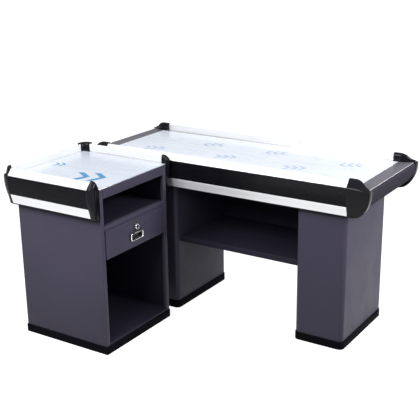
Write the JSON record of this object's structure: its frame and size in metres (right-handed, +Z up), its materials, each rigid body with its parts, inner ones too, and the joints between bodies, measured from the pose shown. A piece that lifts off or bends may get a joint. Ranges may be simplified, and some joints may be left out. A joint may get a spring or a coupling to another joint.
{
  "type": "checkout counter",
  "caption": "Retail checkout counter: a square side cabinet with a locking cash drawer and open compartments, butted to a long two-pedestal counter with shelf, bumper rails and steel tops.",
  "frame": {"origin": "middle of the footprint of the whole counter, on the floor", "axes": "+X along the main counter, away from the side cabinet, and the way the drawer opens; +Y from the side cabinet towards the main counter; +Z up"},
  "size_m": [1.586, 1.206, 0.842],
  "materials": {
    "body_paint": "powder coat, satin dark grey-violet, fine orange-peel texture",
    "plinth_black": "black base trim, satin",
    "edge_aluminium": "pale silver-white anodised extrusion, fine lengthwise drawing lines",
    "bumper_pvc": "black ribbed PVC bumper strip, glossy",
    "cap_moulding": "black injection-moulded cap, satin gloss",
    "end_profile": "dark grey end profile, satin with fine lines",
    "stainless": "stainless sheet under pale bluish protective film",
    "top_board": "medium-density fibreboard, raw",
    "zinc_plated": "zinc-plated sheet and hardware",
    "bright_chrome": "polished chrome plate",
    "handle_black": "dark moulded handle plate, satin",
    "lock_black": "black plug with key slot"
  },
  "bodies": {
    "root": {"side_plinth": "plinth_black", "side_floor_panel": "body_paint", "side_near_panel": "body_paint", "side_far_panel": "body_paint", "side_back_panel": "body_paint", "side_near_stile": "body_paint", "side_far_stile": "body_paint", "side_fascia": "body_paint", "side_mid_rail": "body_paint", "side_compartment_shelf": "body_paint", "side_top_board": "top_board", "side_steel_top": "stainless", "side_near_rail": "edge_aluminium", "side_left_rail": "edge_aluminium", "side_far_rail": "edge_aluminium", "side_near_bumper": "bumper_pvc", "side_left_bumper": "bumper_pvc", "side_corner_cap": "cap_moulding", "side_near_end_cap": "cap_moulding", "side_rear_corner_cap": "cap_moulding", "side_far_end_cap": "cap_moulding", "slide_brackets": "zinc_plated", "slide_cabinet_members": "zinc_plated", "slide_screws": "zinc_plated", "main_left_plinth": "plinth_black", "main_right_plinth": "plinth_black", "main_left_pedestal": "body_paint", "main_right_pedestal": "body_paint", "main_shelf": "body_paint", "shelf_brackets": "zinc_plated", "main_back_panel": "body_paint", "main_front_beam": "body_paint", "main_rear_beam": "body_paint", "main_top_board": "top_board", "main_steel_top": "stainless", "main_front_rail": "edge_aluminium", "main_back_rail": "edge_aluminium", "main_front_bumper": "bumper_pvc", "main_back_bumper": "bumper_pvc", "main_left_end_rail": "end_profile", "main_right_end_rail": "end_profile", "main_front_left_cap": "cap_moulding", "main_front_right_cap": "cap_moulding", "main_back_left_cap": "cap_moulding", "main_back_right_cap": "cap_moulding"},
    "drawer": {"slide_drawer_members": "zinc_plated", "drawer_front": "body_paint", "drawer_floor": "zinc_plated", "drawer_near_side": "zinc_plated", "drawer_far_side": "zinc_plated", "drawer_back": "zinc_plated", "handle_plate": "handle_black", "handle_screws": "zinc_plated", "lock_collar": "bright_chrome", "lock_nut": "zinc_plated"},
    "slide_middle": {"slide_middle_members": "zinc_plated"},
    "pull_ring": {"handle_ring": "bright_chrome"},
    "lock": {"lock_plug": "lock_black", "lock_cam": "zinc_plated"}
  },
  "joints": [
    {"name": "drawer_slide", "type": "slide", "parent": "root", "child": "drawer", "axis": [1, 0, 0], "range_m": [0, 0.4]},
    {"name": "slide_extension", "type": "slide", "parent": "root", "child": "slide_middle", "axis": [1, 0, 0], "range_m": [0, 0.2]},
    {"name": "lock_turn", "type": "hinge", "parent": "drawer", "child": "lock", "pos_m": [-0.237, -0.297, 0.56], "axis": [1, 0, 0], "range_deg": [0, 90]},
    {"name": "ring_pivot", "type": "hinge", "parent": "drawer", "child": "pull_ring", "pos_m": [-0.2305, -0.297, 0.53], "axis": [0, -1, 0], "range_deg": [0, 90]}
  ],
  "couplings": [
    {"joint": "slide_extension", "follows": "drawer_slide", "ratio": 0.5}
  ]
}
